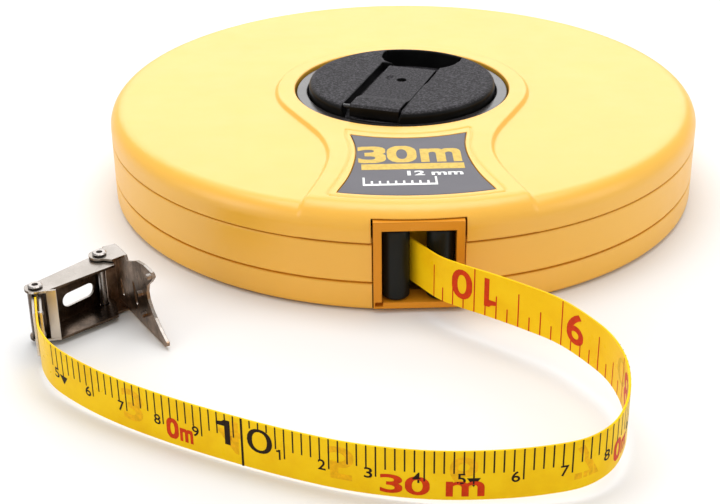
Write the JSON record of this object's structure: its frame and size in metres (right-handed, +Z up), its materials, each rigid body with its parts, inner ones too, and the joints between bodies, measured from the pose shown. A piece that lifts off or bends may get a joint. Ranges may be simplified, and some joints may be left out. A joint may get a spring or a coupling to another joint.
{
  "type": "surveyor tape reel",
  "caption": "Closed round-case measuring tape reel with a flush fold-out crank, twin-roller mouth and a drawn-out flat tape that ends in a pivoting metal hook.",
  "frame": {"origin": "on the reel axis, at the underside of the case", "axes": "+Z up along the reel axis, -Y out through the mouth, +X to the right when looking at the mouth from outside with the crank on top"},
  "size_m": [0.1819, 0.2524, 0.0311],
  "materials": {
    "case_yellow": "semi-gloss moulded shell",
    "label_grey": "satin printed plate",
    "reel_grey": "satin",
    "crank_black": "fine grained",
    "roller_black": "smooth",
    "tape_yellow": "glossy vinyl coat over glass fibre",
    "steel": "bright",
    "hook_steel": "nickel plated, brushed",
    "zinc_steel": "zinc plated",
    "bush_white": "acetal, natural white"
  },
  "bodies": {
    "housing": {"case_bottom_cover": "case_yellow", "case_center_band": "case_yellow", "case_top_cover": "case_yellow", "case_screw_1": "zinc_steel", "case_screw_2": "zinc_steel", "case_screw_3": "zinc_steel", "case_screw_4": "zinc_steel", "case_screw_5": "zinc_steel", "label_plate": "label_grey", "mouth_frame": "case_yellow", "left_roller_pin": "steel", "right_roller_pin": "steel", "spindle": "steel", "spindle_washer": "zinc_steel", "spindle_screw": "zinc_steel", "outer_tape": "tape_yellow", "tape_clamp_outer": "hook_steel", "tape_clamp_inner": "hook_steel", "clamp_rivet_1": "steel", "clamp_rivet_2": "steel"},
    "reel": {"spool_hub": "reel_grey", "spool_lower_flange": "reel_grey", "spool_upper_flange": "reel_grey", "wound_tape": "tape_yellow", "spindle_bush": "bush_white", "crank_disc": "crank_black", "disc_screw_1": "zinc_steel", "disc_screw_2": "zinc_steel", "disc_screw_3": "zinc_steel", "disc_screw_4": "zinc_steel", "lever_hinge_pin": "steel"},
    "lever": {"crank_lever": "crank_black", "knob_pin": "steel"},
    "knob": {"crank_knob": "crank_black"},
    "left_roller": {"left_guide_roller": "roller_black"},
    "right_roller": {"right_guide_roller": "roller_black"},
    "link": {"hook_link": "hook_steel", "link_pivot_pin": "steel", "claw_pivot_pin": "steel"},
    "claw": {"hook_claw": "hook_steel"}
  },
  "joints": [
    {"name": "reel_spin", "type": "hinge", "parent": "housing", "child": "reel", "pos_m": [0, 0, 0.015], "axis": [0, 0, 1], "continuous": true},
    {"name": "lever_fold", "type": "hinge", "parent": "reel", "child": "lever", "pos_m": [-0.00815, -0.02204, 0.0295], "axis": [0.9379, -0.3469, 0], "range_deg": [0, 180]},
    {"name": "knob_spin", "type": "hinge", "parent": "lever", "child": "knob", "pos_m": [0, 0, 0.02], "axis": [0, 0, 1], "continuous": true},
    {"name": "left_roller_spin", "type": "hinge", "parent": "housing", "child": "left_roller", "pos_m": [-0.0056, -0.0822, 0.0125], "axis": [0, 0, 1], "continuous": true},
    {"name": "right_roller_spin", "type": "hinge", "parent": "housing", "child": "right_roller", "pos_m": [0.0056, -0.0822, 0.0125], "axis": [0, 0, 1], "continuous": true},
    {"name": "link_swing", "type": "hinge", "parent": "housing", "child": "link", "pos_m": [-0.0932, -0.096, 0.008], "axis": [0, 0, 1], "range_deg": [-15, 140]},
    {"name": "claw_swing", "type": "hinge", "parent": "link", "child": "claw", "pos_m": [-0.0797, -0.0812, 0.008], "axis": [0, 0, 1], "range_deg": [-30, 75]}
  ]
}
